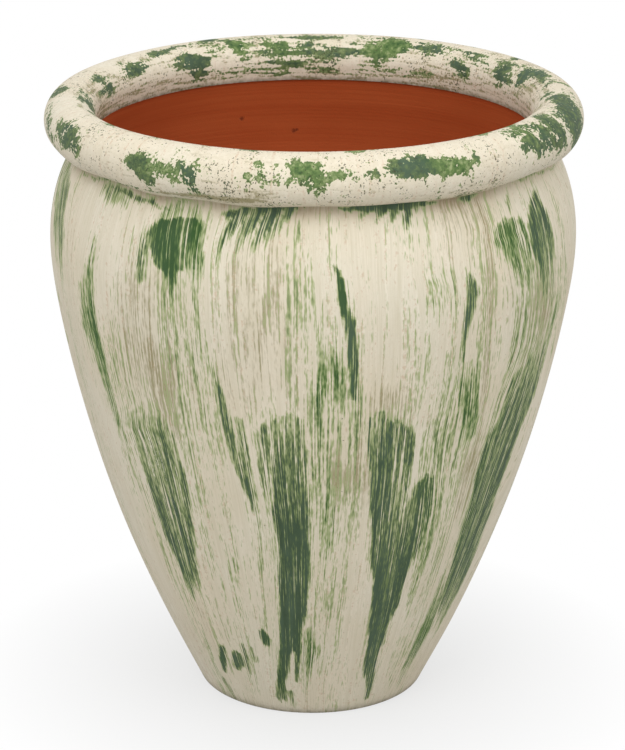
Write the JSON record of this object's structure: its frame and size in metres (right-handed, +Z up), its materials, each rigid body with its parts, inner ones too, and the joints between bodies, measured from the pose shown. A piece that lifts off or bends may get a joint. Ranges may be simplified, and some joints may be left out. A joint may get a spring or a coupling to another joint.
{
  "type": "planter",
  "caption": "Tall tapered clay floor planter with a full shoulder, a thick rolled rim, a bare clay inside and a central drain hole.",
  "frame": {"origin": "centre of the flat underside of the foot, on the axis of the drain hole", "axes": "+Z up along the planter's axis through the mouth; +Y away from the pictured front; X and Y are otherwise alike"},
  "size_m": [0.5, 0.5, 0.586],
  "materials": {
    "painted_clay": "fired terracotta, limewashed off-white outside with dry-brushed green, bare orange-brown inside and under the foot"
  },
  "bodies": {
    "root": {"base_slab": "painted_clay", "lower_wall": "painted_clay", "upper_wall": "painted_clay", "rim_coil": "painted_clay"}
  },
  "joints": []
}
